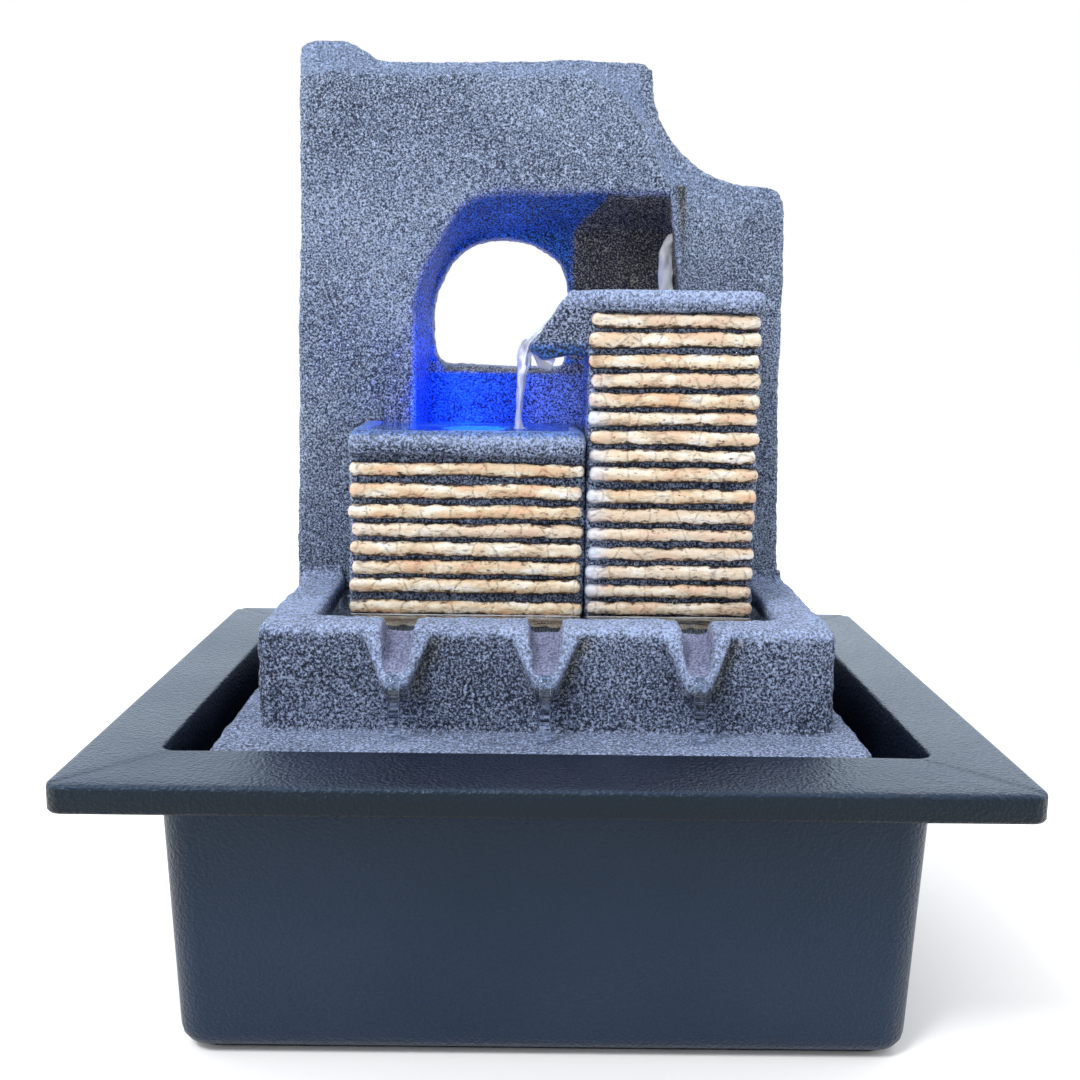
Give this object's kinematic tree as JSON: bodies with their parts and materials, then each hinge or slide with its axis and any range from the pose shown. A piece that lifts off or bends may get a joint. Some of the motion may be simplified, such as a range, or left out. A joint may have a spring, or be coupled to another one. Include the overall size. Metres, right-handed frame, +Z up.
{
  "type": "tabletop water fountain",
  "caption": "Tabletop fountain: a cast stone-look sculpture with pillars, niche wall and pouring lips lifts out of a plastic basin that holds a pump.",
  "frame": {"origin": "centre of the overall box's bottom face, on the table", "axes": "+Z up, +Y to the back, +X to the viewer's right in front of the fountain"},
  "size_m": [0.21, 0.175, 0.2463],
  "materials": {
    "basin_plastic": "fine leather grain, satin",
    "cast_stone": "sandy cast resin, dry-brushed blue grey",
    "strip_stone": "painted stacked strips, cream and tan with dark joints",
    "black_rubber": "matt",
    "pump_plastic": "fine spark grain",
    "cover_plastic": "fine grain",
    "potting_epoxy": "cast, glossy",
    "lamination_steel": "stacked laminations",
    "coil_copper": "enamelled copper wire",
    "shaft_ceramic": "ground",
    "rotor_magnet": "sintered ferrite, matt",
    "clear_hose": "clear soft PVC",
    "lead_jacket": "soft PVC",
    "lamp_board": "solder mask",
    "lamp_lens": "clear, lit blue",
    "screw_steel": "zinc plated"
  },
  "bodies": {
    "tub": {"basin_tub": "basin_plastic", "foot_pad_1": "black_rubber", "foot_pad_2": "black_rubber", "foot_pad_3": "black_rubber", "foot_pad_4": "black_rubber", "cord_grommet": "black_rubber", "pump_housing": "pump_plastic", "potting_cap": "potting_epoxy", "stator_core": "lamination_steel", "stator_coil": "coil_copper", "volute_cover": "pump_plastic", "volute_seal": "black_rubber", "rotor_shaft": "shaft_ceramic", "shaft_bush_rear": "black_rubber", "shaft_bush_front": "black_rubber", "cable_gland": "black_rubber", "led_socket": "pump_plastic", "suction_cup_1": "black_rubber", "suction_cup_2": "black_rubber", "suction_cup_3": "black_rubber", "suction_cup_4": "black_rubber"},
    "sculpture": {"base_trough": "cast_stone", "rear_wall": "cast_stone", "low_pillar": "strip_stone", "tall_pillar": "strip_stone", "rear_cover": "cover_plastic", "cover_screw_1": "screw_steel", "cover_screw_2": "screw_steel", "cover_screw_3": "screw_steel", "cover_screw_4": "screw_steel", "delivery_hose": "clear_hose", "outlet_elbow": "pump_plastic", "led_gasket": "black_rubber", "led_housing": "pump_plastic", "led_board": "lamp_board", "led_lens": "lamp_lens", "led_lead": "lead_jacket", "led_plug": "pump_plastic"},
    "rotor": {"rotor_magnet": "rotor_magnet", "impeller": "pump_plastic"},
    "strainer": {"strainer_cover": "pump_plastic"},
    "dial": {"flow_dial": "pump_plastic"}
  },
  "joints": [
    {"name": "sculpture_lift", "type": "slide", "parent": "tub", "child": "sculpture", "axis": [0, 0, 1], "range_m": [0, 0.08]},
    {"name": "rotor_spin", "type": "hinge", "parent": "tub", "child": "rotor", "pos_m": [0.0236, 0.018, 0.024], "axis": [1, 0, 0], "continuous": true},
    {"name": "strainer_pull", "type": "slide", "parent": "tub", "child": "strainer", "axis": [1, 0, 0], "range_m": [0, 0.012]},
    {"name": "dial_turn", "type": "hinge", "parent": "strainer", "child": "dial", "pos_m": [0.057, 0.018, 0.024], "axis": [1, 0, 0], "range_deg": [0, 30]}
  ]
}
